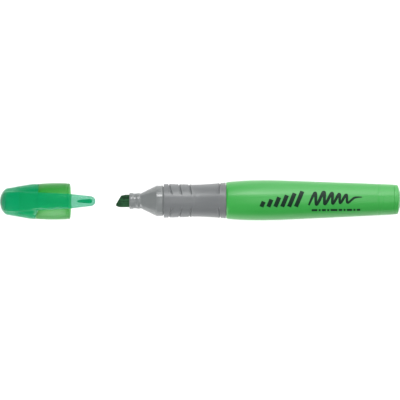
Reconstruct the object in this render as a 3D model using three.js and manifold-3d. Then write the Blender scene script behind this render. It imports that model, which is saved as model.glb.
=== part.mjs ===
// A large pen-shaped highlighter with a chisel nib, lying on its side with its cap pulled off the front.
// The body is a bulged barrel with a soft waisted grip, a stepped nose, a nib, an ink reservoir and an
// end plug. The cap is a sleeve, a domed crown, an inner seal and a spring clip moulded onto the crown.
//
// Frame: millimetres, +X along the axis from the cap's dome to the end plug, +Z up through the clip.
// The origin is on the surface that the barrel lies on, under the middle of the whole object.
// A station is a distance along the axis from the seat, the step in front of the grip that the rim of
// the closed cap meets. Stations are negative towards the nib. Cap stations are counted from its rim.
import * as THREE from "three";
import { mergeVertices } from "three/addons/utils/BufferGeometryUtils.js";
import Module from "manifold-3d";

const wasm = await Module();
wasm.setup();

// Driving dimensions
const SIDES = 32; // facets round every turned piece
const GAP = 0.15; // clearance left between pieces that are fitted to each other
const CAP_OFF = 43.1; // how far the cap's rim stands in front of the seat
const CAP_LENGTH = 32.3; // rim to the end of the dome
const REAR = 108.6; // the end plug's flat face
const BARREL_RADIUS = 9.22; // at the bulge
const NIB = { tip: -21.95, rear: 17, width: 5.8, thickness: 3.4, corner: 1.2 };
const COLLAR = { front: -15.85, radius: 3.52, bead: 3.73 };
const CONE = { front: -10.4, rear: -3.4 };
const NECK_RADIUS = 7.1;
const CORE_RADIUS = 6.45; // the section under the grip
const GRIP = { front: 0, rear: 28.5, bore: CORE_RADIUS + 0.1 };
const SPIGOT = { rear: 41, radius: 7.1, bead: 37.8 }; // the section's rear end, inside the barrel
const WEB = { front: 9, rear: 10.4 }; // the wall in the section that guides the nib
const SECTION_BORE = 5.5;
const BARREL = { front: GRIP.rear + GAP, rear: 105.6 };
const RIB = { front: 45, rear: 99, radius: 5.32, thickness: 0.9, count: 4 };
const PLUG_SPIGOT = { front: 99.6, radius: 5.8 };
const RESERVOIR = { front: 10.7, rear: 99.3, radius: 4.95, film: 5.17 };
const GROOVES = { depth: 0.36, sweep: THREE.MathUtils.degToRad(63) };
const CROWN_EDGE = -14.3; // where the crown ends and the sleeve shows
const CROWN_WALL = 0.95;
const SEAL = { mouth: -11, end: -29, radius: 4.55, bore: 3.82, wall: 0.7 };
const CLIP = { root: -16.2, tip: 12, halfWidth: 4.1, under: 9.2, top: 10.65 };
const SPINE = { end: -31, halfWidth: 4.5 }; // where the clip's spine leaves the crown's dome
const NUB = { from: 4.1, to: 10.4, radius: 1.05, under: 8.62 };

const rearOfCap = -CAP_LENGTH;
const seatX = (CAP_OFF + CAP_LENGTH - REAR) / 2; // centres the whole length on the origin

// Turned and extruded shapes

// A solid of revolution about +X from a closed outline of [station, radius] pairs. The outline runs
// along the outside towards +X and comes back along the inside, or starts and ends on the axis.
function turned(outline) {
  const points = outline.map(([station, radius]) => new THREE.Vector2(radius, station));
  const first = outline[0];
  if (first[1] > 0) {
    points.push(new THREE.Vector2(first[1], first[0]));
  }
  return new THREE.LatheGeometry(points, SIDES).rotateZ(-Math.PI / 2);
}

// Points of a smooth curve through a few [station, radius] pairs.
function smooth(pairs, steps) {
  const curve = new THREE.SplineCurve(pairs.map(([s, r]) => new THREE.Vector2(s, r)));
  return curve.getPoints(steps).map((p) => [p.x, p.y]);
}

// Points of a quarter of an ellipse from one [station, radius] pair to another. It leaves the first
// one along the axis, and meets the second one square to the axis.
function quarter([s0, r0], [s1, r1], steps) {
  return Array.from({ length: steps + 1 }, (_, i) => {
    const angle = (i / steps) * (Math.PI / 2);
    return [s0 + (s1 - s0) * Math.sin(angle), r1 + (r0 - r1) * Math.cos(angle)];
  });
}

// An outline in the XY plane, stretched from one height to another.
function slab(shape, bottom, top) {
  const geometry = new THREE.ExtrudeGeometry(shape, {
    depth: top - bottom,
    bevelEnabled: false,
    curveSegments: 6,
  });
  return geometry.translate(0, 0, bottom);
}

// An outline in the XZ plane, stretched to both sides of it.
function upright(shape, halfWidth) {
  return slab(shape, -halfWidth, halfWidth).rotateX(Math.PI / 2);
}

// A rounded rectangle in the YZ plane, stretched along X from one station to another.
function roundedBar(width, height, corner, from, to) {
  const [w, h] = [width / 2, height / 2];
  const shape = new THREE.Shape();
  shape.absarc(w - corner, h - corner, corner, 0, Math.PI / 2);
  shape.absarc(corner - w, h - corner, corner, Math.PI / 2, Math.PI);
  shape.absarc(corner - w, corner - h, corner, Math.PI, 1.5 * Math.PI);
  shape.absarc(w - corner, corner - h, corner, 1.5 * Math.PI, 2 * Math.PI);
  return slab(shape, from, to).rotateX(Math.PI / 2).rotateZ(Math.PI / 2);
}

// A closed outline through [x, y] pairs.
function outlineOf(pairs) {
  return new THREE.Shape(pairs.map(([x, y]) => new THREE.Vector2(x, y)));
}

// Joins and cuts

// A geometry as a manifold-3d solid, without the slivers that a lathe leaves on its axis.
function solid(geometry) {
  const bare = geometry.index ? geometry.toNonIndexed() : geometry.clone();
  bare.deleteAttribute("normal");
  bare.deleteAttribute("uv");
  const merged = mergeVertices(bare, 1e-4);
  const index = merged.index.array;
  const triangles = [];
  for (let i = 0; i < index.length; i += 3) {
    const [a, b, c] = [index[i], index[i + 1], index[i + 2]];
    if (a !== b && b !== c && c !== a) {
      triangles.push(a, b, c);
    }
  }
  const mesh = new wasm.Mesh({
    numProp: 3,
    vertProperties: merged.attributes.position.array,
    triVerts: new Uint32Array(triangles),
  });
  return new wasm.Manifold(mesh);
}

// A solid back as a three.js geometry.
function geometryOf(made) {
  const { numProp, vertProperties, triVerts } = made.getMesh();
  const positions = new Float32Array((vertProperties.length / numProp) * 3);
  for (let i = 0; i < positions.length / 3; i++) {
    positions.set(vertProperties.subarray(i * numProp, i * numProp + 3), i * 3);
  }
  const geometry = new THREE.BufferGeometry();
  geometry.setAttribute("position", new THREE.BufferAttribute(positions, 3));
  geometry.setIndex(new THREE.BufferAttribute(triVerts, 1));
  geometry.computeVertexNormals();
  return geometry;
}

// The pen's pieces

function nibSlot(clearance, from, to) {
  const { width, thickness, corner } = NIB;
  return roundedBar(width + clearance, thickness + clearance, corner + clearance / 2, from, to);
}

// A rod of bonded fibre. Its slanted tip is ground to a writing edge on both wide faces, and its rear
// end is pointed where it enters the reservoir.
function nib() {
  const rod = solid(roundedBar(NIB.width, NIB.thickness, NIB.corner, NIB.tip - 1, NIB.rear));
  const side = NIB.width / 2;
  const plan = outlineOf([
    [NIB.tip, -1.85],
    [NIB.tip + 0.15, -2.3],
    [NIB.tip + 0.9, -2.72],
    [COLLAR.front + 1, -side - 0.1],
    [NIB.rear - 2.5, -side - 0.1],
    [NIB.rear, -1.2],
    [NIB.rear, 1.2],
    [NIB.rear - 2.5, side + 0.1],
    [COLLAR.front + 1, side + 0.1],
    [NIB.tip + 3.4, 2.72],
    [NIB.tip + 2.6, 2.45],
    [NIB.tip + 2.1, 1.9],
  ]);
  const edge = 0.75;
  const bevel = 4.6;
  const profile = outlineOf([
    [NIB.tip, -edge],
    [NIB.tip + bevel, -NIB.thickness / 2 - 0.05],
    [NIB.rear, -NIB.thickness / 2 - 0.05],
    [NIB.rear, NIB.thickness / 2 + 0.05],
    [NIB.tip + bevel, NIB.thickness / 2 + 0.05],
    [NIB.tip, edge],
  ]);
  const fromAbove = solid(slab(plan, -NIB.width, NIB.width));
  const fromTheSide = solid(upright(profile, NIB.width));
  return geometryOf(rod.intersect(fromAbove).intersect(fromTheSide));
}

// The stiff front moulding: a beaded collar that seals against the cap, a cone, a neck, a core under
// the grip and a spigot that snaps into the barrel. It is bored for the reservoir from behind.
function noseSection() {
  const { front, radius, bead } = COLLAR;
  const outside = turned([
    [front, 0],
    [front, bead - 0.25],
    [front + 0.3, bead],
    [front + 1.5, bead],
    [front + 1.95, radius],
    [front + 3.2, radius],
    [front + 3.6, bead - 0.07],
    [front + 4.6, bead - 0.07],
    [front + 4.95, radius],
    [CONE.front, radius + 0.08],
    [CONE.front + 1.2, 4.2],
    [CONE.rear - 0.5, NECK_RADIUS - 0.2],
    [CONE.rear + 0.2, NECK_RADIUS],
    [GRIP.front - GAP, NECK_RADIUS],
    [GRIP.front - GAP, CORE_RADIUS],
    [GRIP.rear + GAP / 2, CORE_RADIUS],
    [GRIP.rear + GAP / 2, SPIGOT.radius],
    [SPIGOT.bead - 0.6, SPIGOT.radius],
    [SPIGOT.bead, SPIGOT.radius + 0.16],
    [SPIGOT.bead + 0.6, SPIGOT.radius],
    [SPIGOT.rear - 0.5, SPIGOT.radius],
    [SPIGOT.rear, SPIGOT.radius - 0.4],
    [SPIGOT.rear, 0],
  ]);
  const chamber = turned([
    [CONE.front + 0.2, 0],
    [CONE.front + 0.2, 3.1],
    [CONE.rear, SECTION_BORE - 0.1],
    [WEB.front, SECTION_BORE - 0.1],
    [WEB.front, 0],
  ]);
  const bore = turned([
    [WEB.rear, 0],
    [WEB.rear, SECTION_BORE],
    [SPIGOT.rear + 1, SECTION_BORE],
    [SPIGOT.rear + 1, 0],
  ]);
  const slot = nibSlot(0.16, front - 1, WEB.rear + 1);
  let made = solid(outside);
  for (const cut of [chamber, bore, slot]) {
    made = made.subtract(solid(cut));
  }
  return geometryOf(made);
}

// The radius of the grip's surface at a station, for placing its grooves.
const GRIP_SURFACE = new THREE.SplineCurve(
  [
    [0.5, 7.76],
    [4.8, 7.64],
    [9, 7.52],
    [12.8, 7.44],
    [15.8, 7.43],
    [19.5, 7.6],
    [24, 7.86],
    [28.1, 8.22],
  ].map(([s, r]) => new THREE.Vector2(s, r)),
);

function gripRadius(station) {
  const { points } = GRIP_SURFACE;
  const span = points[points.length - 1].x - points[0].x;
  const guess = (station - points[0].x) / span;
  const shares = [-0.1, -0.05, 0, 0.05, 0.1].map((d) => THREE.MathUtils.clamp(guess + d, 0, 1));
  const near = shares.map((share) => GRIP_SURFACE.getPoint(share));
  const closer = (best, p) => (Math.abs(p.x - station) < Math.abs(best.x - station) ? p : best);
  return near.reduce(closer).y;
}

// One groove across a side of the grip. Its middle lies level with the axis, and its two ends are
// swept back by bow. side is 1 on the +Y side and -1 on the other.
function groove(station, bow, side) {
  const steps = 6;
  const radius = gripRadius(station);
  const centres = Array.from({ length: steps + 1 }, (_, i) => {
    const share = (2 * i) / steps - 1;
    const angle = share * GROOVES.sweep;
    return new THREE.Vector3(
      station + bow * share * share,
      side * radius * Math.cos(angle),
      radius * Math.sin(angle),
    );
  });
  const section = new THREE.Shape();
  section.absarc(0, 0, GROOVES.depth, 0, 2 * Math.PI);
  return new THREE.ExtrudeGeometry(section, {
    extrudePath: new THREE.CatmullRomCurve3(centres),
    steps,
    curveSegments: 3,
    bevelEnabled: false,
  });
}

// The soft waisted sleeve over the section. Three grooves near its front and one near its rear run
// across each side and leave the top and the underside smooth.
function gripSleeve() {
  const surface = GRIP_SURFACE.getPoints(12).map((p) => [p.x, p.y]);
  const outline = [
    [GRIP.front, GRIP.bore],
    [GRIP.front, 7.55],
    ...surface,
    [GRIP.rear, 8.12],
    [GRIP.rear, GRIP.bore],
  ];
  let made = solid(turned(outline));
  const rows = [
    [2.45, 1.4],
    [7, 1.25],
    [11.7, 1.1],
    [25.75, -0.8],
  ];
  for (const [station, bow] of rows) {
    for (const side of [1, -1]) {
      made = made.subtract(solid(groove(station, bow, side)));
    }
  }
  return geometryOf(made);
}

// The barrel: bulged outside, with a drafted bore, a groove for the section's snap bead and four
// ribs that hold the reservoir in the middle.
function barrel() {
  const front = BARREL.front;
  const bore = SPIGOT.radius + 0.1;
  const outside = smooth(
    [
      [front + 0.5, 8.42],
      [33, 8.82],
      [38.5, 9.12],
      [45, BARREL_RADIUS],
      [54.5, 9.05],
      [71, 8.38],
      [90, 7.6],
      [BARREL.rear - 0.2, 6.93],
    ],
    20,
  );
  const shell = turned([
    [front, bore],
    [front, 8.2],
    ...outside,
    [BARREL.rear, 6.85],
    [BARREL.rear, PLUG_SPIGOT.radius + 0.1],
    [RIB.front - 1, bore - 0.15],
    [SPIGOT.bead + 0.9, bore],
    [SPIGOT.bead + 0.3, bore + 0.15],
    [SPIGOT.bead - 0.3, bore + 0.15],
    [SPIGOT.bead - 0.9, bore],
  ]);
  let made = solid(shell);
  for (let i = 0; i < RIB.count; i++) {
    const depth = 1.6;
    const rib = new THREE.BoxGeometry(RIB.rear - RIB.front, RIB.thickness, depth);
    rib.translate((RIB.front + RIB.rear) / 2, 0, RIB.radius + depth / 2);
    rib.rotateX((i + 0.5) * ((2 * Math.PI) / RIB.count));
    made = made.add(solid(rib));
  }
  return geometryOf(made);
}

// The press-in plug that closes the barrel. Its ring-shaped spigot stops the reservoir, and its
// domed head ends in a small flat face.
function endPlug() {
  const { front, radius } = PLUG_SPIGOT;
  return turned([
    [front, 4.3],
    [front, radius - 0.3],
    [front + 0.4, radius],
    [BARREL.rear + GAP, radius],
    [BARREL.rear + GAP, 6.85],
    [106.6, 6.72],
    ...quarter([106.6, 6.72], [107.5, 5.95], 3).slice(1),
    [108.25, 4.2],
    [REAR, 3.4],
    [REAR, 0],
    [REAR - 1.2, 0],
    [REAR - 1.6, 4.3],
  ]);
}

function reservoirCore() {
  const { front, rear, radius } = RESERVOIR;
  const felt = turned([
    [front, 0],
    [front, radius],
    [rear, radius],
    [rear, 0],
  ]);
  return geometryOf(solid(felt).subtract(solid(nibSlot(0.2, front - 1, NIB.rear + 0.2))));
}

function reservoirFilm() {
  const { front, rear, radius, film } = RESERVOIR;
  return turned([
    [front, radius + 0.07],
    [front, film],
    [rear, film],
    [rear, radius + 0.07],
  ]);
}

// The cap's pieces, with stations counted from its rim

// The lower part of the cap. It shows from the rim to the crown's edge, and a thinner spigot goes on
// up inside the crown. A shallow ring inside the mouth grips the neck.
function capSleeve() {
  const step = CROWN_EDGE + GAP;
  return turned([
    [-23, 5.4],
    [-23, 6.2],
    [CROWN_EDGE - GAP, 7.0],
    [step, 7.0],
    [step, 8.07],
    ...smooth([[step + 0.4, 8.12], [-10, 8.36], [-6.5, 8.42], [-3, 8.36], [-0.5, 8.16]], 8),
    [0, 7.85],
    [0, 7.5],
    [-0.5, 7.34],
    [-1.6, 7.34],
    [-2.3, 7.2],
    [-3, 7.34],
    [-13, 7.1],
    [-15, 6.15],
  ]);
}

// Half the width of the clip and of its spine at a cap station.
const CLIP_SIDE = [
  [CLIP.root, CLIP.halfWidth],
  [-8, 3.8],
  [0, 3.35],
  [6, 2.68],
  [CLIP.tip - 1.6, 2.15],
];

// The domed top of the cap. A raised spine on it carries the clip.
function capCrown() {
  const body = [
    [CROWN_EDGE, 8.1],
    [-17, 8.03],
    [-19.7, 7.7],
    [-23.9, 7.02],
    [-28, 6.28],
  ].reverse();
  const dome = quarter([-28, 6.28], [rearOfCap, 0], 7).reverse();
  const shell = solid(turned([...dome, ...body.slice(1), [CROWN_EDGE, 0]]));
  const half = CLIP.halfWidth;
  const foot = SPINE.end + 2.2;
  const plan = outlineOf([
    [SPINE.end, -3.4],
    [foot, -SPINE.halfWidth],
    [CLIP.root - 2 * GAP, -half],
    [CLIP.root - 2 * GAP, half],
    [foot, SPINE.halfWidth],
    [SPINE.end, 3.4],
  ]);
  const ridge = smooth(
    [
      [SPINE.end, 4.6],
      [-28.8, 7.3],
      [-25, 9.15],
      [-20.5, 10.3],
      [CLIP.root, CLIP.top],
    ],
    8,
  );
  const profile = outlineOf([[SPINE.end, 0], ...ridge, [CLIP.root, 0]].reverse());
  const spine = solid(slab(plan, 0, 12)).intersect(solid(upright(profile, 6)));
  const hollow = turned([
    [rearOfCap + 1.1, 0],
    [rearOfCap + 1.3, 3.2],
    [SEAL.end - GAP, SEAL.radius + 0.1],
    [-25.6, SEAL.radius + 0.1],
    [-23.2, 6.3],
    [CROWN_EDGE - GAP, 8.1 - CROWN_WALL],
    [CROWN_EDGE + 2, 8.1 - CROWN_WALL],
    [CROWN_EDGE + 2, 0],
  ]);
  return geometryOf(shell.add(spine).subtract(solid(hollow)));
}

// The inner cup that the nose's collar seals in. Its blind end is pressed into the crown.
function capSeal() {
  const { mouth, end, radius, bore, wall } = SEAL;
  return turned([
    [end, 0],
    [end, radius - 0.3],
    [end + 0.3, radius],
    [mouth, radius],
    [mouth, bore + 0.4],
    [mouth - 0.6, bore],
    [end + wall, bore],
    [end + wall, 0],
  ]);
}

// The free arm of the clip, from its root on the crown's spine to a blunt tip beyond the rim. A
// drop-shaped nub under its end holds on to paper or a pocket.
function capClip() {
  const end = 1.6;
  const side = CLIP_SIDE[CLIP_SIDE.length - 1][1];
  const plan = new THREE.Shape();
  plan.moveTo(CLIP.root, -CLIP.halfWidth);
  for (const [station, half] of CLIP_SIDE.slice(1)) {
    plan.lineTo(station, -half);
  }
  plan.quadraticCurveTo(CLIP.tip, -side, CLIP.tip, end - side);
  plan.lineTo(CLIP.tip, side - end);
  plan.quadraticCurveTo(CLIP.tip, side, CLIP.tip - end, side);
  for (const [station, half] of CLIP_SIDE.slice(0, -1).reverse()) {
    plan.lineTo(station, half);
  }
  const profile = new THREE.Shape();
  profile.moveTo(CLIP.root, CLIP.under);
  profile.lineTo(CLIP.tip - 1.2, CLIP.under);
  profile.quadraticCurveTo(CLIP.tip, CLIP.under, CLIP.tip, CLIP.under + 0.55);
  profile.quadraticCurveTo(CLIP.tip - 0.4, 10.3, CLIP.tip - 3.5, 10.45);
  profile.quadraticCurveTo(-4, CLIP.top + 0.1, CLIP.root, CLIP.top);
  const arm = solid(slab(plan, 8, 12)).intersect(solid(upright(profile, 6)));
  const drop = new THREE.Shape();
  drop.moveTo(NUB.from, 0);
  drop.quadraticCurveTo(NUB.from + 1, -NUB.radius, NUB.to - NUB.radius, -NUB.radius);
  drop.absarc(NUB.to - NUB.radius, 0, NUB.radius, -Math.PI / 2, Math.PI / 2);
  drop.quadraticCurveTo(NUB.from + 1, NUB.radius, NUB.from, 0);
  return geometryOf(arm.add(solid(slab(drop, NUB.under, CLIP.under + 0.3))));
}

// Materials
function plastic(color, roughness, opacity = 1) {
  const transparent = opacity < 1;
  return new THREE.MeshStandardMaterial({ color, roughness, metalness: 0, opacity, transparent });
}

const materials = {
  barrel: plastic(0x5cb858, 0.32),
  grip: plastic(0x85898d, 0.55),
  nose: plastic(0x808586, 0.38),
  nib: plastic(0x24502f, 0.95),
  felt: plastic(0x3fb55b, 0.95),
  film: plastic(0xe6eae6, 0.3, 0.6),
  crown: plastic(0x00a05c, 0.15, 0.7),
  sleeve: plastic(0x6cc25a, 0.2, 0.65),
  seal: plastic(0x3fb67a, 0.25, 0.7),
};

// Assembly
function piece(name, geometry, material) {
  const mesh = new THREE.Mesh(geometry, material);
  mesh.name = name;
  return mesh;
}

const clip = new THREE.Group();
clip.add(piece("cap_clip", capClip(), materials.crown));

const cap = new THREE.Group();
cap.position.x = -CAP_OFF;
cap.add(
  piece("cap_crown", capCrown(), materials.crown),
  piece("cap_sleeve", capSleeve(), materials.sleeve),
  piece("cap_inner_seal", capSeal(), materials.seal),
  clip,
);

const highlighter = new THREE.Group();
highlighter.position.set(seatX, 0, BARREL_RADIUS);
highlighter.add(
  piece("barrel", barrel(), materials.barrel),
  piece("end_plug", endPlug(), materials.barrel),
  piece("grip_sleeve", gripSleeve(), materials.grip),
  piece("nose_section", noseSection(), materials.nose),
  piece("nib", nib(), materials.nib),
  piece("reservoir_core", reservoirCore(), materials.felt),
  piece("reservoir_film", reservoirFilm(), materials.film),
  cap,
);

const root = new THREE.Group();
root.add(highlighter);

export default root;
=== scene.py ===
"""A large pen-shaped highlighter lying on a pale floor with its cap pulled off the front.

Every shape is built in millimetres about the pen's axis. Stations run along the axis: a pen station
is counted from the grip's front face towards the rear, and a cap station from the cap's rim. The
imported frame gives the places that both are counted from.
"""
import math

import bmesh
import bpy
import numpy as np
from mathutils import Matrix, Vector


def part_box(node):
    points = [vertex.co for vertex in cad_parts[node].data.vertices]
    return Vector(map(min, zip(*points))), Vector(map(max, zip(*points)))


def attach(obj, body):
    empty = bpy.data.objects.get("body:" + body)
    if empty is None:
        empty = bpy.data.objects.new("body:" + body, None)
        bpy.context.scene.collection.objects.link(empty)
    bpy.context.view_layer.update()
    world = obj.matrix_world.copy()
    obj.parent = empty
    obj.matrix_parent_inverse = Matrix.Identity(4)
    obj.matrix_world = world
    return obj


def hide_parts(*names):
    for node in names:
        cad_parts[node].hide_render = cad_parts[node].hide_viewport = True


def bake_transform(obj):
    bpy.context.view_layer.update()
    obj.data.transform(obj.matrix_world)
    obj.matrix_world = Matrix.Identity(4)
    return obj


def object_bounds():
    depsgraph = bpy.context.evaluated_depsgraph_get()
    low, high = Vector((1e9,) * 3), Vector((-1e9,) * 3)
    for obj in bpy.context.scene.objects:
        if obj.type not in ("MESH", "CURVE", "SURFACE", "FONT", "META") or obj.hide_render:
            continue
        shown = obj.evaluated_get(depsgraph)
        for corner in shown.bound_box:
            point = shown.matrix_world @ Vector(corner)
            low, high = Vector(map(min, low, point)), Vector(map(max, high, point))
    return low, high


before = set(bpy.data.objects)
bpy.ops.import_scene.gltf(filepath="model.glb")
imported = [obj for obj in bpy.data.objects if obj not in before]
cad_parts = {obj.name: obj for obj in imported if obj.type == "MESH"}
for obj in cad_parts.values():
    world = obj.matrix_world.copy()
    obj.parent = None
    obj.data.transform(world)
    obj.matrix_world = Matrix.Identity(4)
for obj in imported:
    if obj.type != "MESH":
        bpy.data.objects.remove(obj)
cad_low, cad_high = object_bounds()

MM = 0.001
SIDES = 128  # points round a turned piece
SHARP = 50  # degrees between two faces from which their edge is drawn sharp
POINT = 0.004  # radius of a ring that closes a piece on its axis

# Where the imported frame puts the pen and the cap
barrel_low, barrel_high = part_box("barrel")
AXIS_Z = (barrel_low.z + barrel_high.z) / 2
SEAT_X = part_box("grip_sleeve")[0].x
RIM_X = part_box("cap_sleeve")[1].x
PLUG_END = (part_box("end_plug")[1].x - SEAT_X) / MM
DOME_END = (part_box("cap_crown")[0].x - RIM_X) / MM
CLIP_TIP = (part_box("cap_clip")[1].x - RIM_X) / MM
CLIP_TOP = (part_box("cap_clip")[1].z - AXIS_Z) / MM
NIB_TIP = (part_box("nib")[0].x - SEAT_X) / MM


# ---------------------------------------------------------------- outlines


def smooth(pairs, steps):
    """Points of a smooth curve through a few (station, radius) pairs."""
    points = np.array(pairs, float)
    last = len(points) - 1
    made = []
    for t in np.linspace(0, last, steps + 1):
        i = min(int(t), last - 1)
        w = t - i
        p0, p1, p2, p3 = (points[min(max(k, 0), last)] for k in (i - 1, i, i + 1, i + 2))
        v0, v1 = (p2 - p0) / 2, (p3 - p1) / 2
        made.append(
            (2 * p1 - 2 * p2 + v0 + v1) * w**3 + (-3 * p1 + 3 * p2 - 2 * v0 - v1) * w**2 + v0 * w + p1
        )
    return [tuple(p) for p in made]


def rounded(corners, steps=5):
    """An outline through (station, radius, fillet) corners, each rounded by its fillet. A corner
    given as a pair is kept sharp."""
    made = []
    for i, corner in enumerate(corners):
        here = np.array(corner[:2], float)
        fillet = corner[2] if len(corner) > 2 else 0
        if fillet == 0 or i in (0, len(corners) - 1):
            made.append(tuple(here))
            continue
        before = np.array(corners[i - 1][:2], float) - here
        after = np.array(corners[i + 1][:2], float) - here
        reach = min(fillet, 0.49 * np.linalg.norm(before), 0.49 * np.linalg.norm(after))
        a = here + before / np.linalg.norm(before) * reach
        b = here + after / np.linalg.norm(after) * reach
        for t in np.linspace(0, 1, steps + 1):
            made.append(tuple((1 - t) ** 2 * a + 2 * t * (1 - t) * here + t**2 * b))
    return made


def step(low, high, x):
    """0 below low, 1 above high, and a smooth rise between them."""
    t = np.clip((np.asarray(x, float) - low) / (high - low), 0, 1)
    return t * t * (3 - 2 * t)


def radius_at(outside, limit, angles):
    """The radius below limit at which each angle's ray leaves a shape, found by halving the stretch
    that holds it. outside tells which of a set of radii are outside the shape."""
    low, high = np.zeros(angles.shape), np.full(angles.shape, float(limit))
    for _ in range(40):
        middle = (low + high) / 2
        beyond = outside(middle)
        high = np.where(beyond, middle, high)
        low = np.where(beyond, low, middle)
    return low


# ---------------------------------------------------------------- meshes


def placed(points, x0):
    """(station, y, z) points in millimetres about the axis as points in the frame."""
    points = np.asarray(points, float)
    return np.stack(
        [x0 + points[..., 0] * MM, points[..., 1] * MM, AXIS_Z + points[..., 2] * MM], axis=-1
    )


def mesh_object(name, verts, faces, sharp=SHARP):
    """A smooth-shaded object with its faces pointing out."""
    mesh = bpy.data.meshes.new(name)
    mesh.from_pydata(np.asarray(verts).tolist(), [], faces)
    work = bmesh.new()
    work.from_mesh(mesh)
    bmesh.ops.remove_doubles(work, verts=work.verts, dist=1e-7)
    bmesh.ops.dissolve_degenerate(work, edges=work.edges, dist=1e-7)
    bmesh.ops.recalc_face_normals(work, faces=work.faces)
    work.to_mesh(mesh)
    work.free()
    mesh.shade_smooth()
    mesh.set_sharp_from_angle(angle=math.radians(sharp))
    made = bpy.data.objects.new(name, mesh)
    bpy.context.scene.collection.objects.link(made)
    return made


def lofted_faces(rings, points, closed):
    """Quads between rings of equally many points. The ends are flat, unless the loft is closed and
    its last ring meets the first."""
    faces = []
    for i in range(rings if closed else rings - 1):
        k = (i + 1) % rings
        for j in range(points):
            n = (j + 1) % points
            faces.append((i * points + j, i * points + n, k * points + n, k * points + j))
    if not closed:
        faces.append(tuple(range(points)))
        faces.append(tuple((rings - 1) * points + j for j in range(points)))
    return faces


def loft(name, rings, x0, closed=False, sharp=SHARP):
    """A solid mesh through rings of (station, y, z) points in millimetres."""
    rings = np.asarray(rings, float)
    count, points = rings.shape[:2]
    faces = lofted_faces(count, points, closed)
    return mesh_object(name, placed(rings.reshape(-1, 3), x0), faces, sharp)


ANGLES = np.linspace(0, 2 * math.pi, SIDES, endpoint=False)


def ring(station, radius, angles=ANGLES):
    """A ring about the axis. station and radius may be one number or one for each angle, and the
    angle is counted from straight up."""
    station = np.broadcast_to(station, angles.shape)
    return np.stack([station, radius * np.sin(angles), radius * np.cos(angles)], axis=-1)


def turned(name, outline, x0):
    """A piece turned about the axis from an outline that starts and ends on the axis, or that closes
    on itself."""
    closed = outline[0][1] > POINT
    rings = [ring(s, max(r, POINT)) for s, r in outline]
    return loft(name, rings, x0, closed)


# ---------------------------------------------------------------- materials


def nodes_of(name):
    """A new material with its node tree, its shader and its output."""
    made = bpy.data.materials.new(name)
    made.use_nodes = True
    tree = made.node_tree
    return made, tree, tree.nodes["Principled BSDF"], tree.nodes["Material Output"]


def mapped(tree, scale):
    """Object coordinates in the frame, scaled along each axis."""
    coords = tree.nodes.new("ShaderNodeTexCoord")
    mapping = tree.nodes.new("ShaderNodeMapping")
    mapping.inputs["Scale"].default_value = scale
    tree.links.new(coords.outputs["Object"], mapping.inputs["Vector"])
    return mapping.outputs["Vector"]


def noise(tree, scale, detail=3.0, stretch=(1, 1, 1), roughness=0.5):
    """Noise with features of about 1 / scale metres."""
    made = tree.nodes.new("ShaderNodeTexNoise")
    made.inputs["Scale"].default_value = scale
    made.inputs["Detail"].default_value = detail
    made.inputs["Roughness"].default_value = roughness
    tree.links.new(mapped(tree, stretch), made.inputs["Vector"])
    return made.outputs["Fac"]


def blended(tree, factor, low, high, stops=(0.2, 0.8)):
    """A colour that goes from low to high as factor crosses the stops."""
    ramp = tree.nodes.new("ShaderNodeValToRGB")
    first, second = ramp.color_ramp.elements
    first.position, second.position = stops
    first.color, second.color = (*low, 1), (*high, 1)
    tree.links.new(factor, ramp.inputs["Fac"])
    return ramp.outputs["Color"]


def ranged(tree, factor, low, high, span=(0.15, 0.85)):
    """factor's span mapped to low..high, and held at the two ends."""
    made = tree.nodes.new("ShaderNodeMapRange")
    made.inputs["From Min"].default_value = span[0]
    made.inputs["From Max"].default_value = span[1]
    made.inputs["To Min"].default_value = low
    made.inputs["To Max"].default_value = high
    tree.links.new(factor, made.inputs["Value"])
    return made.outputs["Result"]


def bumped(tree, shader, height, strength, distance):
    """Adds a bump to a shader, distance metres deep."""
    made = tree.nodes.new("ShaderNodeBump")
    made.inputs["Strength"].default_value = strength
    made.inputs["Distance"].default_value = distance
    tree.links.new(height, made.inputs["Height"])
    tree.links.new(made.outputs["Normal"], shader.inputs["Normal"])


def moulded(name, low, high, roughness, grain, grain_depth, coat):
    """An opaque moulded plastic: cloudy pigment from low to high, uneven gloss and a fine grain."""
    made, tree, shader, _ = nodes_of(name)
    cloud = noise(tree, 140, stretch=(0.35, 1, 1))
    tree.links.new(blended(tree, cloud, low, high), shader.inputs["Base Color"])
    smudges = noise(tree, 260, detail=4)
    tree.links.new(ranged(tree, smudges, *roughness), shader.inputs["Roughness"])
    bumped(tree, shader, noise(tree, grain, detail=2), strength=0.35, distance=grain_depth)
    shader.inputs["IOR"].default_value = 1.49
    shader.inputs["Coat Weight"].default_value = coat
    shader.inputs["Coat Roughness"].default_value = roughness[0]
    return made


def ink(name):
    """Printing ink: thin in places, where it takes on a little of the green under it."""
    made, tree, shader, _ = nodes_of(name)
    worn = noise(tree, 1500, detail=4, roughness=0.7)
    colour = blended(tree, worn, (0.001, 0.013, 0.006), (0.004, 0.042, 0.017), stops=(0.45, 0.75))
    tree.links.new(colour, shader.inputs["Base Color"])
    tree.links.new(ranged(tree, worn, 0.42, 0.55), shader.inputs["Roughness"])
    shader.inputs["Specular IOR Level"].default_value = 0.25
    return made


def fibre(name, dark, light, streak):
    """Bonded felt fibre: dark and light streaks along the axis, streak times as fine along it as
    across it, and a rough surface."""
    made, tree, shader, _ = nodes_of(name)
    streaks = noise(tree, 900, detail=4, stretch=(streak, 1, 1), roughness=0.65)
    colour = blended(tree, streaks, dark, light, stops=(0.4, 0.62))
    tree.links.new(colour, shader.inputs["Base Color"])
    bumped(tree, shader, streaks, strength=0.8, distance=0.00012)
    shader.inputs["Roughness"].default_value = 0.76
    shader.inputs["Specular IOR Level"].default_value = 0.25
    shader.inputs["Sheen Weight"].default_value = 0.06
    shader.inputs["Sheen Roughness"].default_value = 0.5
    return made


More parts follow.
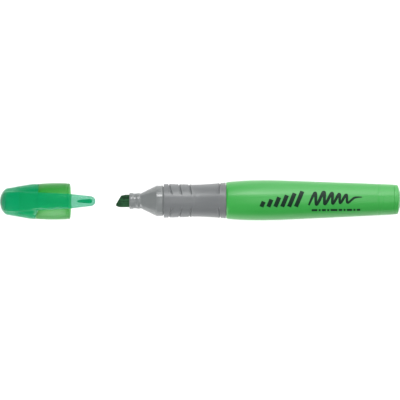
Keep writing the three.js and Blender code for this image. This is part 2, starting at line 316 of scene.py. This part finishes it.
PIGMENT_IOR, GLASS_IOR = 1.35, 1.2  # below the real plastic, so that the many walls mirror little
FACING_SPAN = (0.25, 0.9)  # from nearly face on to nearly edge on
EDGE_SHARE = 0.2  # how much of a wall's clear share is left where it is seen edge on


def tinted(name, deep, light, glass, clear, roughness, shine):
    """A tinted see-through plastic. clear is the share that goes through as glass where the wall
    faces the view, and it falls towards the silhouette. The pigment scatters the rest in a colour
    from deep to light."""
    made, tree, pigment, output = nodes_of(name)
    cloud = noise(tree, 160, detail=2, stretch=(0.4, 1, 1))
    uneven = ranged(tree, noise(tree, 220), *roughness)
    tree.links.new(blended(tree, cloud, deep, light), pigment.inputs["Base Color"])
    tree.links.new(uneven, pigment.inputs["Roughness"])
    pigment.inputs["Specular IOR Level"].default_value = shine
    see_through = tree.nodes.new("ShaderNodeBsdfPrincipled")
    see_through.inputs["Base Color"].default_value = (*glass, 1)
    see_through.inputs["Transmission Weight"].default_value = 1.0
    see_through.inputs["Roughness"].default_value = roughness[0]
    for shader, ior in ((pigment, PIGMENT_IOR), (see_through, GLASS_IOR)):
        shader.inputs["IOR"].default_value = ior
        ripples = noise(tree, 500, detail=1, stretch=(0.4, 1, 1))
        bumped(tree, shader, ripples, strength=0.12, distance=0.00004)
    facing = tree.nodes.new("ShaderNodeLayerWeight")
    facing.inputs["Blend"].default_value = 0.5
    share = ranged(tree, facing.outputs["Facing"], clear, EDGE_SHARE * clear, FACING_SPAN)
    mixed = tree.nodes.new("ShaderNodeMixShader")
    tree.links.new(share, mixed.inputs["Fac"])
    tree.links.new(pigment.outputs["BSDF"], mixed.inputs[1])
    tree.links.new(see_through.outputs["BSDF"], mixed.inputs[2])
    tree.links.new(mixed.outputs["Shader"], output.inputs["Surface"])
    return made


def clear_film(name):
    """A thin clear wrapper with faint wrinkles along it."""
    made, tree, shader, _ = nodes_of(name)
    wrinkles = noise(tree, 400, stretch=(0.1, 1, 1))
    colour = blended(tree, wrinkles, (0.7305, 0.7913, 0.7305), (0.8714, 0.9047, 0.8714))
    tree.links.new(colour, shader.inputs["Base Color"])
    shader.inputs["Roughness"].default_value = 0.25
    shader.inputs["Alpha"].default_value = 0.5
    bumped(tree, shader, wrinkles, strength=0.4, distance=0.0001)
    return made


def floor_material():
    """A plain white studio floor. It is a little uneven in tone, and it glows slightly so that it
    stays white at the edge of the lights."""
    made, tree, shader, _ = nodes_of("studio_floor")
    colour = blended(tree, noise(tree, 3, detail=2), (0.88, 0.88, 0.88), (0.9, 0.9, 0.9))
    tree.links.new(colour, shader.inputs["Base Color"])
    shader.inputs["Roughness"].default_value = 0.9
    shader.inputs["Specular IOR Level"].default_value = 0.1
    shader.inputs["Emission Color"].default_value = (1, 1, 1, 1)
    shader.inputs["Emission Strength"].default_value = 0.12
    return made


barrel_green = moulded(
    "barrel_green",
    low=(0.027, 0.312, 0.045),
    high=(0.032, 0.328, 0.05),
    roughness=(0.3, 0.36),
    grain=2600,
    grain_depth=0.000003,
    coat=0.3,
)
print_ink = ink("print_ink")
grip_grey = moulded(
    "grip_grey",
    low=(0.132, 0.14, 0.144),
    high=(0.143, 0.151, 0.155),
    roughness=(0.29, 0.34),
    grain=5200,
    grain_depth=0.000012,
    coat=0.2,
)
nose_grey = moulded(
    "nose_grey",
    low=(0.168, 0.18, 0.18),
    high=(0.18, 0.192, 0.192),
    roughness=(0.12, 0.16),
    grain=3200,
    grain_depth=0.000002,
    coat=0.2,
)
nib_fibre = fibre("nib_fibre", dark=(0.004, 0.028, 0.009), light=(0.016, 0.078, 0.028), streak=0.06)
reservoir_fibre = fibre("reservoir_fibre", dark=(0.04, 0.3, 0.07), light=(0.09, 0.55, 0.14), streak=0.08)
film_clear = clear_film("reservoir_film")
emerald = tinted(
    "cap_emerald",
    deep=(0.0, 0.245, 0.096),
    light=(0.001, 0.262, 0.105),
    glass=(0.6, 0.9, 0.88),
    clear=0.5,
    roughness=(0.04, 0.08),
    shine=0.12,
)
emerald_dense = tinted(
    "nub_emerald",
    deep=(0.0, 0.2, 0.075),
    light=(0.001, 0.22, 0.082),
    glass=(0.2, 0.9, 0.6),
    clear=0.15,
    roughness=(0.04, 0.08),
    shine=0.12,
)
lime = tinted(
    "cap_lime",
    deep=(0.012, 0.2, 0.018),
    light=(0.016, 0.218, 0.025),
    glass=(0.3, 0.86, 0.32),
    clear=0.5,
    roughness=(0.29, 0.36),
    shine=0.8,
)
seal_tint = tinted(
    "cap_seal",
    deep=(0.0, 0.3, 0.09),
    light=(0.002, 0.33, 0.1),
    glass=(0.5, 0.95, 0.75),
    clear=0.5,
    roughness=(0.29, 0.33),
    shine=0.5,
)


def finish_piece(piece, body, slot, material, *stands_for):
    """Gives a piece its material and its body, and puts it in place of its CAD nodes. slot is not used."""
    piece.data.materials.clear()
    piece.data.materials.append(material)
    if body:
        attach(piece, body)
    if stands_for:
        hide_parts(*stands_for)
    return piece


# ---------------------------------------------------------------- pen


BARREL_FRONT, BARREL_REAR = 28.65, 105.6
BULGE = smooth(
    [
        (29.5, 8.5),
        (33, 8.82),
        (38.5, 9.12),
        (45, 9.215),
        (54.5, 9.05),
        (71, 8.38),
        (90, 7.6),
        (BARREL_REAR - 0.5, 6.94),
    ],
    90,
)
BARREL_RINGS = ((98.2, 0.22), (100.2, 0.28))  # (station, half its width)
BARREL_RING_DEPTH = 0.05


def barrel_radius(station):
    """The barrel's radius on its bulge, with the two faint rings cut near its rear."""
    radius = np.interp(station, [s for s, _ in BULGE], [r for _, r in BULGE])
    for at, half in BARREL_RINGS:
        radius -= BARREL_RING_DEPTH * max(0.0, 1 - ((station - at) / half) ** 2)
    return radius


def make_barrel():
    """The bulged barrel, with a small lip at its front edge."""
    front, rear = BARREL_FRONT, BARREL_REAR
    rings = [at + share * half for at, half in BARREL_RINGS for share in (-1, -0.5, 0, 0.5, 1)]
    outline = rounded(
        [(front, 7.2), (front, 8.18, 0.22), (front + 0.42, 8.36, 0.12), (29.2, 8.38), (29.45, 8.49)]
    )
    outline += [(s, barrel_radius(s)) for s in sorted([s for s, _ in BULGE] + rings)]
    outline += rounded([(rear - 0.4, 6.93), (rear, 6.9, 0.15), (rear, 5.9, 0.1), (44, 6.95, 0.5), (39, 7.2)])
    return turned("barrel_shell", outline, SEAT_X)


INK_OVER = (0.004, 0.026)  # the print's underside and its top above the barrel


def ink_rings(path):
    """Sections of one printed stroke. path holds (station, distance up the barrel's side, width)."""
    path = np.array(path, float)
    along = np.gradient(path[:, :2], axis=0)
    along /= np.linalg.norm(along, axis=1)[:, None]
    across = np.stack([-along[:, 1], along[:, 0]], axis=-1)
    rings = []
    for (station, side, width), way in zip(path, across):
        top, under = [], []
        for share in np.linspace(-0.5, 0.5, 7):
            s, a = np.array([station, side]) + way * share * width
            angle = a / barrel_radius(s)
            for row, over in ((under, INK_OVER[0]), (top, INK_OVER[1])):
                r = barrel_radius(s) + over
                row.append((s, r * math.sin(angle), r * math.cos(angle)))
        rings.append(top + under[::-1])
    return rings


BARS, BAR_PITCH, BAR_WIDTH = 6, 3.15, 1.95
FIRST_BAR = (44.6, -3.1)  # the foot of the first bar
BAR_HEIGHT, BAR_GROWTH, BAR_LEAN = 2.5, 0.95, 0.42


def rising_bars():
    """A row of sloping bars, each a little taller than the one before it."""
    strokes = []
    for i in range(BARS):
        station, low = FIRST_BAR[0] + BAR_PITCH * i, FIRST_BAR[1]
        height = BAR_HEIGHT + BAR_GROWTH * i
        lean = BAR_LEAN * height
        strokes.append([(station + lean * t, low + height * t, BAR_WIDTH) for t in np.linspace(0, 1, 9)])
    return strokes


def marker_scribble():
    """A quick back and forth scribble, as a chisel tip leaves it, that runs out into a long tail. It
    goes through turns of (station, distance up the barrel's side, width)."""
    turns = [
        (66.2, -2.4, 0.8),
        (69.2, 3.3, 1.5),
        (69.8, -2.2, 1.2),
        (73.2, 3.7, 1.6),
        (73.6, -2.0, 1.2),
        (76.9, 3.2, 1.5),
        (77.2, -1.8, 1.1),
        (80.2, 2.7, 1.4),
        (80.6, -1.5, 1.1),
        (83.4, 2.3, 1.3),
        (84.0, -1.3, 1.1),
        (87.2, 0.9, 1.0),
        (90.6, 1.2, 0.35),
    ]
    points = np.array(turns)
    middle = smooth(points[:, :2], 200)
    widths = np.interp(np.linspace(0, 1, 201), np.linspace(0, 1, len(points)), points[:, 2])
    return [[(s, a, w) for (s, a), w in zip(middle, widths)]]


DASHES = (2.6, 0.9, 1.8, 0.9, 3.1, 1.6, 0.9, 2.4, 0.9, 1.6)  # their lengths
DASH_START, DASH_SIDE, DASH_WIDTH, DASH_GAP = 67.6, -4.95, 1.15, 0.62


def dash_row():
    """A row of short dashes under the scribble."""
    strokes, station = [], DASH_START
    for length in DASHES:
        strokes.append([(station + length * t, DASH_SIDE, DASH_WIDTH) for t in np.linspace(0, 1, 4)])
        station += length + DASH_GAP
    return strokes


def make_print():
    """The print on the barrel, as one skin of ink that lies just over the plastic."""
    verts, faces = [], []
    for path in [*rising_bars(), *marker_scribble(), *dash_row()]:
        rings = np.array(ink_rings(path))
        count, points = rings.shape[:2]
        first = len(verts)
        faces += [tuple(first + i for i in face) for face in lofted_faces(count, points, False)]
        verts += rings.reshape(-1, 3).tolist()
    return mesh_object("barrel_print", placed(verts, SEAT_X), faces)


def make_plug():
    """The hollow end plug: a rolled corner, a fine groove and a shallow dome with a flat middle."""
    face = PLUG_END - 0.002
    collar, spigot = BARREL_REAR + 0.03, 99.6
    outside = rounded(
        [
            (spigot, 4.3, 0.2),
            (spigot, 5.8, 0.4),
            (collar, 5.8, 0.05),
            (collar, 6.87, 0.12),
            (107.4, 6.74, 0.35),
            (107.95, 5.6, 0.2),
            (107.8, 5.35, 0.1),
            (108.05, 5.05, 0.15),
            (108.35, 4.2, 0.5),
            (face, 3.3, 0.3),
            (face, 0),
        ]
    )
    inside = rounded([(face - 1.2, 0), (face - 1.5, 4.3, 0.4), (spigot, 4.3)])[:-1]
    return turned("end_plug_dome", outside + inside, SEAT_X)


GRIP_START, GRIP_END, GRIP_REAR = 0.35, 28.1, 28.45
GRIP_SURFACE = np.array(
    smooth([(GRIP_START, 7.79), (1.7, 7.77), (2.4, 7.71), (4.8, 7.64), (9, 7.53), (12.6, 7.46)], 40)
    + smooth([(13.0, 7.37), (15.8, 7.4), (19.5, 7.57), (24, 7.85), (GRIP_END, 8.2)], 40)
)
# The grooves as (station at the side, how far its ends sweep back on top and underneath)
GROOVES = ((2.28, 1.81), (6.95, 1.45), (11.6, 1.3), (25.85, -1.0))
GROOVE_HALF, GROOVE_DEPTH = 0.34, 0.5
LIP_AWAY, LIP_HALF, LIP_HEIGHT = 0.46, 0.17, 0.07  # the raised lips on both sides of a groove
BANDS, BAND_HALF, BAND_HEIGHT = (4.6, 9.3), 1.9, 0.06  # the soft swellings between the front grooves
BANDS_START, BANDS_END = 2.9, 11.3


def grip_rows():
    """The stations of the grip's rows, close together across every groove."""
    before = np.array([-1.6, -1.2, -0.9, -0.72, -0.56, -0.44, -0.34, -0.26, -0.18, -0.09, 0])
    offsets = np.concatenate([before, -before[:-1][::-1]])
    rows = {*np.round(np.arange(GRIP_START, GRIP_END, 0.55), 3), GRIP_END}
    for at, _ in GROOVES:
        rows = {row for row in rows if abs(row - at) > 1.75}
        rows |= {round(at + offset, 3) for offset in offsets}
    return sorted(rows)


def grip_relief(row):
    """How far a row stands out of the grip's smooth surface at the sides."""
    relief = 0.0
    for at, _ in GROOVES:
        away = abs(row - at)
        relief -= GROOVE_DEPTH * max(0.0, 1 - (away / GROOVE_HALF) ** 2)
        relief += LIP_HEIGHT * math.exp(-(((away - LIP_AWAY) / LIP_HALF) ** 2))
    if BANDS_START < row < BANDS_END:
        away = min(abs(row - middle) for middle in BANDS)
        relief += BAND_HEIGHT * max(0.0, 1 - (away / BAND_HALF) ** 2)
    return relief


def make_grip():
    """The soft sleeve. Its rows follow the grooves, which sweep across both sides and fade out at
    the smooth panels on top and underneath."""
    angles = np.linspace(0, 2 * math.pi, 224, endpoint=False)
    toward_view = np.abs(np.cos(angles))  # 1 on top and underneath, 0 at the sides
    fade = 1 - step(57, 70, np.degrees(np.arcsin(toward_view)))
    sweeps = np.array([(GRIP_START, 0), *GROOVES[:3], (20, 0.15), GROOVES[3], (GRIP_END, 0)])
    outlines = rounded([(0, 6.55), (0, 7.79, 0.3), (GRIP_START, 7.79)])[:-1]
    rings = [ring(station, radius, angles) for station, radius in outlines]
    for row in grip_rows():
        radius = np.interp(row, GRIP_SURFACE[:, 0], GRIP_SURFACE[:, 1]) + grip_relief(row) * fade
        sweep = np.interp(row, sweeps[:, 0], sweeps[:, 1]) * toward_view**2
        rings.append(ring(row + sweep, radius, angles))
    outlines = rounded([(GRIP_END, 8.2), (GRIP_REAR, 8.14, 0.2), (GRIP_REAR, 6.55, 0.1), (20, 6.55)])[1:]
    rings += [ring(station, radius, angles) for station, radius in outlines]
    return loft("grip_shell", rings, SEAT_X, closed=True)


def slot_ring(station, width, height, corner, angles):
    """A rounded rectangle about the axis, with one point on the ray of each angle."""
    directions = np.stack([np.sin(angles), np.cos(angles)], axis=-1)
    inner = np.array([width / 2 - corner, height / 2 - corner])

    def outside(radius):
        beyond = np.abs(directions * radius[:, None]) - inner
        distance = np.linalg.norm(np.maximum(beyond, 0), axis=1) + np.minimum(beyond.max(axis=1), 0)
        return distance > corner

    return ring(station, radius_at(outside, width, angles), angles)


COLLAR_FRONT = -15.85
NIB_SLOT = (5.96, 3.56, 1.2)  # width, height and corner


def make_nose():
    """The nose moulding, from its beaded collar to the spigot in the barrel, with the nib's slot."""
    front = COLLAR_FRONT
    outside = rounded(
        [
            (front, 3.35),
            (front, 3.62, 0.12),
            (front + 0.28, 3.74, 0.15),
            (front + 1.5, 3.74, 0.3),
            (front + 1.85, 3.5, 0.2),
            (front + 3.25, 3.5, 0.2),
            (front + 3.6, 3.67, 0.25),
            (front + 4.6, 3.67, 0.3),
            (front + 4.95, 3.5, 0.25),
            (-10.35, 3.6, 0.8),
            (-9.2, 4.2, 0.6),
            (-3.75, 6.88, 0.35),
            (-3.45, 7.08, 0.15),
            (-0.5, 7.1, 0.12),
            (-0.35, 6.75, 0.1),
            (-0.15, 6.45, 0.1),
            (28.5, 6.45, 0.1),
            (28.5, 7.08, 0.1),
            (40.6, 7.08, 0.3),
            (41, 6.7, 0.2),
            (41, 5.5, 0.2),
            (-3.4, 5.35, 0.5),
            (-10.2, 3.4, 0.3),
        ]
    )
    rings = [ring(s, r) for s, r in outside]
    mouth = ((front + 0.05, 6.1, 3.7, 1.3), (front, 6.3, 3.9, 1.4))
    for section in ((-10.3, *NIB_SLOT), (front + 0.2, *NIB_SLOT), *mouth):
        rings.append(slot_ring(*section, ANGLES))
    return loft("nose_shell", rings, SEAT_X, closed=True)


NIB_REAR = 17.0
NIB_ANGLES = np.linspace(0, 2 * math.pi, 96, endpoint=False)
NIB_LOW, NIB_HIGH, NIB_HALF = -2.02, 2.52, 0.62  # the writing edge's two ends and half its thickness
NIB_TAPER = 5.2  # how far behind the edge the nib has its full thickness
SLOPE, SLOPE_END = 0.585, 6.2  # of the slanted edge, and how far behind it the sections are square


def nib_ring(along, low, high, half, corner, lean):
    """One section of the nib, along millimetres behind its writing edge, which slants by lean."""
    width, middle = high - low, (high + low) / 2
    section = slot_ring(0, width, 2 * half, min(corner, half * 0.98, width * 0.49), NIB_ANGLES)
    y = section[:, 1] + middle
    slant = SLOPE * (y + 2.0) * lean * (1 - step(0, SLOPE_END, along))
    start = NIB_TIP - 0.25 * lean
    return np.stack([start + along + np.maximum(slant, -0.05), y, section[:, 2]], axis=-1)


def make_nib():
    """The chisel nib: a slanted writing edge, worn round, and flat faces that spread to full
    thickness."""
    rings = []
    for shrink, forward in ((0.15, -0.16), (0.55, -0.13), (0.85, -0.06)):
        low, high = NIB_LOW * shrink - 0.15, NIB_HIGH * shrink
        rings.append(nib_ring(forward, low, high, NIB_HALF * shrink, 0.3 * shrink, lean=1))
    for along in NIB_TAPER * np.linspace(0, 1, 26) ** 1.4:
        low = NIB_LOW - 0.86 * (1 - (1 - min(along / 2.4, 1)) ** 2)
        high = NIB_HIGH + 0.38 * (1 - (1 - min(along / 3.2, 1)) ** 2)
        half = NIB_HALF + 1.08 * step(0, 1, along / 4.6) ** 0.8
        corner = min(0.3 + 0.9 * float(step(0, 3.6, along)), half - 0.05)
        rings.append(nib_ring(along, low, high, half, corner, lean=1))
    for station in (-14.5, -12, 0, NIB_REAR - 2.5):
        rings.append(nib_ring(station - NIB_TIP, -2.9, 2.9, 1.7, 1.2, lean=0))
    rings.append(nib_ring(NIB_REAR - NIB_TIP, -1.2, 1.2, 1.0, 0.6, lean=0))
    return loft("nib_chisel", rings, SEAT_X, sharp=60)


# ---------------------------------------------------------------- cap


CROWN_EDGE = -14.3
ARM_UNDER = 9.25  # how high the clip's underside stands above the axis
CHAMFER, CHAMFER_SLOPE = 1.35, 36  # along both top edges of the spine and the clip
EDGE_SLANT = 1.6  # how far the crown's edge runs back towards the dome on its -Y side
SLANT_START = -22  # where the crown's sections begin to follow its slanted edge
ARM_DROP, ARM_THINNING = 0.42, 0.12  # how much the arm's top falls and its underside rises
ARM_ROUND = 2.3  # length of the arm's round end


def edge_shift(angles):
    """How far the crown's edge is moved along the axis at each angle round the cap."""
    return -EDGE_SLANT * step(0.42, 1.0, -np.sin(angles))


def make_sleeve():
    """The clear lower part of the cap, with a rolled rim and the spigot that goes into the crown."""
    step_at = CROWN_EDGE + 0.12
    flank = smooth([(step_at + 0.5, 8.12), (-10, 8.36), (-6.5, 8.41), (-3, 8.36), (-1.35, 8.26)], 24)
    outside = rounded(
        [
            (-23, 5.5, 0.1),
            (-23, 6.2, 0.15),
            (CROWN_EDGE - 0.3, 6.98, 0.1),
            (step_at, 7.0, 0.1),
            (step_at, 8.07, 0.12),
            flank[0],
        ]
    )
    outside += flank[1:]
    inside = rounded(
        [
            flank[-1],
            (-1.2, 8.12, 0.08),
            (-0.95, 8.12, 0.08),
            (-0.8, 8.22, 0.08),
            (-0.12, 8.12, 0.3),
            (-0.02, 7.75, 0.25),
            (-0.15, 7.45, 0.2),
            (-1.2, 7.34, 0.3),
            (-2.3, 7.2, 0.4),
            (-3.3, 7.34, 0.4),
            (-13, 7.1, 0.6),
            (-15, 6.2, 0.4),
            (-22.9, 5.45),
        ]
    )[1:-1]
    rings = []
    for station, radius in outside:
        follows = step(-23, step_at - 0.6, station) * (1 - step(step_at, -9.5, station))
        rings.append(ring(station + edge_shift(ANGLES) * follows, radius))
    rings += [ring(station, radius) for station, radius in inside]
    return loft("sleeve_shell", rings, RIM_X, closed=True)


DOME_START, SPINE_START = -28, -31.4
# The crown as (station, radius), its spine as (station, height) and the clip as (station, half its width)
CROWN_BODY = np.array(
    smooth([(DOME_START, 6.28), (-23.9, 7.02), (-19.7, 7.7), (-17, 8.03), (CROWN_EDGE, 8.1)], 40)
)
SPINE_TOP = np.array(
    smooth(
        [
            (SPINE_START, 3.4),
            (-30, 5.7),
            (DOME_START, 7.5),
            (-25, 9.1),
            (-20.5, 10.22),
            (CROWN_EDGE, CLIP_TOP - 0.02),
        ],
        60,
    )
)
CLIP_SIDE = np.array(
    [
        (SPINE_START, 2.4),
        (-30, 3.9),
        (-28.4, 4.45),
        (-26, 4.55),
        (-16, 4.1),
        (-8, 3.8),
        (0, 3.38),
        (6, 2.72),
        (12, 2.1),
    ]
)


def crown_radius(station):
    """The crown's radius away from the spine: a tapering body that ends in a dome."""
    if station >= DOME_START:
        return float(np.interp(station, CROWN_BODY[:, 0], CROWN_BODY[:, 1]))
    reach = (station - DOME_START) / (DOME_END - DOME_START)
    return CROWN_BODY[0, 1] * math.sqrt(max(0.0, 1 - reach * reach))


def spine_height(station):
    """How high the spine's top stands above the axis."""
    return float(np.interp(station, SPINE_TOP[:, 0], SPINE_TOP[:, 1]))


def clip_side(station):
    """Half the width of the spine and of the clip."""
    return float(np.interp(station, CLIP_SIDE[:, 0], CLIP_SIDE[:, 1]))


def joined_up(a, b, blend=0.25):
    """The larger of two distances, with the edge between them rounded."""
    return np.maximum(a, b) + np.maximum(blend - np.abs(a - b), 0) ** 2 / (4 * blend)


def crown_section(station, angles):
    """The crown's radius at each angle of one section: the dome and the chamfered spine, joined by a
    soft fillet. There is no spine in front of its start."""
    dome, top, half = crown_radius(station), spine_height(station), clip_side(station)
    soft = 0.5 + 0.9 * (1 - float(step(-29, -22, station))) * min(1.0, dome / 5)
    chamfer = CHAMFER * min(1.0, half / 3)
    slope = math.radians(CHAMFER_SLOPE)

    def outside(radius):
        y, z = radius * np.sin(angles), radius * np.cos(angles)
        from_dome = radius - dome
        across = np.abs(y) - half
        above = np.maximum(z - top, -z)
        bevel = math.sin(slope) * (across + chamfer) + math.cos(slope) * (z - top)
        from_spine = joined_up(joined_up(across, above), bevel)
        near = np.maximum(soft - np.abs(from_dome - from_spine), 0) / soft
        return np.minimum(from_dome, from_spine) - near**2 * soft / 4 > 0

    if station < SPINE_START:
        return np.full(angles.shape, dome)
    return radius_at(outside, 13, angles)


def crown_outside(angles, shift):
    """Rings of the crown's outside, from its pole to just short of its edge."""
    dome = DOME_END + 4.3 * (1 - np.cos(np.linspace(0.06, math.pi / 2, 26)))
    rings = [ring(DOME_END + 0.001, POINT, angles)]
    for s in [*dome[:-1], *np.linspace(DOME_START, CROWN_EDGE - 0.15, 50)]:
        slanted = s + shift * step(SLANT_START, CROWN_EDGE, s)
        rings.append(ring(slanted, crown_section(s, angles), angles))
    return rings


def crown_edge(angles, shift, edge, free):
    """The two rings of the crown's edge. Between the free angles they are the arm's top and its
    underside, and elsewhere they round the edge off."""
    under = np.where(free, ARM_UNDER / np.maximum(np.cos(angles), 0.1), edge - 0.12)
    outer = np.where(free, edge, edge - 0.04)
    return [ring(CROWN_EDGE + shift, radius, angles) for radius in (outer, np.minimum(under, edge))]


def crown_inside(angles, shift):
    """Rings of the crown's hollow, from its mouth to its top."""
    outline = rounded(
        [
            (CROWN_EDGE, 7.3),
            (CROWN_EDGE - 0.02, 7.18, 0.05),
            (-22.9, 6.35, 0.2),
            (-25.4, 4.75, 0.3),
            (-29.1, 4.68, 0.3),
            (DOME_END + 1.3, 3.2, 0.6),
            (DOME_END + 1.1, POINT),
        ]
    )
    return [ring(s + shift * step(SLANT_START, CROWN_EDGE - 0.2, s), r, angles) for s, r in outline]


def arm_rings(section):
    """Sections of the free arm, each made from its first one, down to its round end."""
    across = section[:, 1] / np.abs(section[:, 1]).max()
    rise = (section[:, 2] - ARM_UNDER) / (section[:, 2].max() - ARM_UNDER)
    round_start = CLIP_TIP - ARM_ROUND
    stations = [*np.linspace(CROWN_EDGE + 0.5, round_start, 64)]
    stations += [*(round_start + ARM_ROUND * np.sin(np.linspace(0.12, math.pi / 2 * 0.985, 12)))]
    made = []
    for s in stations:
        top = CLIP_TOP - 0.02 - ARM_DROP * float(step(-6, CLIP_TIP, s))
        under = ARM_UNDER + ARM_THINNING * float(step(CROWN_EDGE, CROWN_EDGE + 1.5, s))
        half = clip_side(s)
        if s > round_start:
            t = (s - round_start) / ARM_ROUND
            half *= math.sqrt(max(1 - t * t, 0.0)) ** 0.8
            middle = under + 0.45
            flat = math.sqrt(max(1 - t**6, 0.02))
            top, under = middle + (top - middle) * flat, middle - (middle - under) * flat
        z = under + rise * (top - under)
        made.append(np.stack([np.full(len(across), s), across * half, z], axis=-1))
    return made


def make_crown():
    """The domed crown with its spine and the free arm of the clip, in one moulding. The arm grows
    out of the crown's edge, from the columns of points that stand above the arm's underside."""
    count = 288
    angles = np.linspace(0, 2 * math.pi, count, endpoint=False)
    shift = edge_shift(angles)
    edge = crown_section(CROWN_EDGE, angles)
    free = (np.cos(angles) * edge > ARM_UNDER) & (np.abs(angles - math.pi) > 2)
    rings = crown_outside(angles, shift)
    outer = len(rings) * count
    under = outer + count
    rings += crown_edge(angles, shift, edge, free) + crown_inside(angles, shift)
    columns = sorted(np.flatnonzero(free), key=lambda j: (j + count // 2) % count)
    opened = {(outer + a, outer + b, under + b, under + a) for a, b in zip(columns, columns[1:])}
    faces = [face for face in lofted_faces(len(rings), count, False) if face not in opened]
    points = np.reshape(rings, (-1, 3))
    section = [*(outer + j for j in columns), *(under + j for j in reversed(columns))]
    for added in arm_rings(points[section]):
        grown = range(len(points), len(points) + len(added))
        points = np.concatenate([points, added])
        for j in range(len(grown)):
            n = (j + 1) % len(grown)
            faces.append((section[j], section[n], grown[n], grown[j]))
        section = grown
    faces.append(tuple(section))
    return mesh_object("crown_and_clip", placed(points, RIM_X), faces, sharp=40)


def make_nub():
    """The drop-shaped nub under the arm's end, pointed towards the crown."""
    start, end, half, depth = 3.5, 10.55, 1.0, 0.62
    centre = end - half
    top = ARM_UNDER + 0.115
    turn = np.linspace(0, math.pi, 17)
    stations = [*(start + (centre - start) * np.sin(np.linspace(0.03, math.pi / 2, 16)))]
    stations += [*(centre + half * np.sin(np.linspace(0.15, 1.5, 9)))]
    rings = []
    for s in stations:
        side = half * ((s - start) / (centre - start)) ** 0.32
        if s > centre:
            side = math.sqrt(half**2 - (s - centre) ** 2)
        low = depth * min(1, side / 0.6) * np.sin(turn)
        rings.append(np.stack([np.full(len(turn), s), side * np.cos(turn), top - low], axis=-1))
    return loft("clip_nub", rings, RIM_X)


def make_seal():
    """The inner cup that closes round the collar."""
    outline = rounded(
        [
            (-29, 0),
            (-29, 4.5, 0.35),
            (-11, 4.5, 0.12),
            (-11, 4.22, 0.12),
            (-11.6, 3.85, 0.2),
            (-28.3, 3.82, 0.4),
            (-28.3, 0),
        ]
    )
    return turned("inner_seal_cup", outline, RIM_X)


# ---------------------------------------------------------------- assembly


finish_piece(make_barrel(), "pen", "barrel_green", barrel_green, "barrel")
finish_piece(make_print(), "pen", None, print_ink)
finish_piece(make_plug(), "pen", "barrel_green", barrel_green, "end_plug")
finish_piece(make_grip(), "pen", "grip_grey", grip_grey, "grip_sleeve")
finish_piece(make_nose(), "pen", "nose_grey", nose_grey, "nose_section")
finish_piece(make_nib(), "pen", "nib_fibre", nib_fibre, "nib")
finish_piece(make_sleeve(), "cap", "cap_lime", lime, "cap_sleeve")
finish_piece(make_seal(), "cap", "cap_seal", seal_tint, "cap_inner_seal")
crown = finish_piece(make_crown(), None, "cap_emerald", emerald, "cap_crown", "cap_clip")
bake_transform(crown)
finish_piece(make_nub(), "clip", "cap_emerald", emerald_dense)
for name, material in (("reservoir_core", reservoir_fibre), ("reservoir_film", film_clear)):
    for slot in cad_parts[name].material_slots:
        slot.material = material


# ---------------------------------------------------------------- studio


def make_floor():
    """A flat floor, four metres wide, that runs past the edge of the view."""
    half = 2.0
    corners = [(-half, -half, 0), (half, -half, 0), (half, half, 0), (-half, half, 0)]
    floor = mesh_object("floor", corners, [(0, 1, 2, 3)])
    floor.data.materials.append(floor_material())


def softbox(name, middle_x, tilt, distance, size, brightness, mirrored=True):
    """A rectangular light that faces the axis, casts no shadow and isn't seen itself. tilt is its
    angle from straight overhead towards +Y. One that isn't mirrored shows in no gloss either."""
    light = bpy.data.lights.new(name, "AREA")
    light.shape = "RECTANGLE"
    light.size, light.size_y = size
    light.energy = brightness * math.pi * size[0] * size[1]
    light.use_shadow = False
    made = bpy.data.objects.new(name, light)
    way = Vector((0, math.sin(math.radians(tilt)), math.cos(math.radians(tilt))))
    made.location = Vector((middle_x, 0, AXIS_Z)) + way * distance
    made.rotation_euler = way.to_track_quat("Z", "Y").to_euler()
    made.visible_glossy = mirrored
    made.visible_camera = False
    bpy.context.scene.collection.objects.link(made)


def make_studio():
    """A dim white room. The key, a small light for the grip and a low panel stand on the +Y side, and
    a weak softbox is overhead. A broad fill leans to the other side, where a bounce card is close to
    the cap."""
    world = bpy.data.worlds.new("studio")
    world.use_nodes = True
    background = world.node_tree.nodes["Background"]
    background.inputs["Color"].default_value = (1, 1, 1, 1)
    background.inputs["Strength"].default_value = 0.15
    bpy.context.scene.world = world
    softbox("key_softbox", 0.29, tilt=50, distance=0.7, size=(0.72, 0.46), brightness=3.2)
    softbox("grip_softbox", -0.01, tilt=40, distance=0.7, size=(0.12, 0.2), brightness=8.0)
    softbox("side_panel", 0.44, tilt=84, distance=0.9, size=(0.9, 0.5), brightness=2.0)
    softbox("back_softbox", 0.36, tilt=2, distance=1.0, size=(0.78, 0.76), brightness=1.35)
    softbox("overhead_fill", 0, tilt=-18, distance=1.2, size=(2.4, 2.4), brightness=0.98, mirrored=False)
    softbox("bounce_card", -0.073, tilt=-72, distance=0.12, size=(0.03, 0.1), brightness=9.5)
    bpy.context.scene.view_settings.view_transform = "Standard"


def make_camera():
    """A long lens straight above, turned a little so that the pen rises to the right."""
    height, up, turn = 1.1, 0.00026, -0.3
    view_width = cad_high[0] - cad_low[0]  # at the height of the axis
    camera = bpy.data.cameras.new("camera")
    camera.sensor_width = 36
    camera.lens = camera.sensor_width * (height - AXIS_Z) / view_width
    made = bpy.data.objects.new("camera", camera)
    made.location = (0, up, height)
    made.rotation_euler = (0, 0, math.radians(turn))
    bpy.context.scene.collection.objects.link(made)
    bpy.context.scene.camera = made


make_floor()
make_studio()
make_camera()
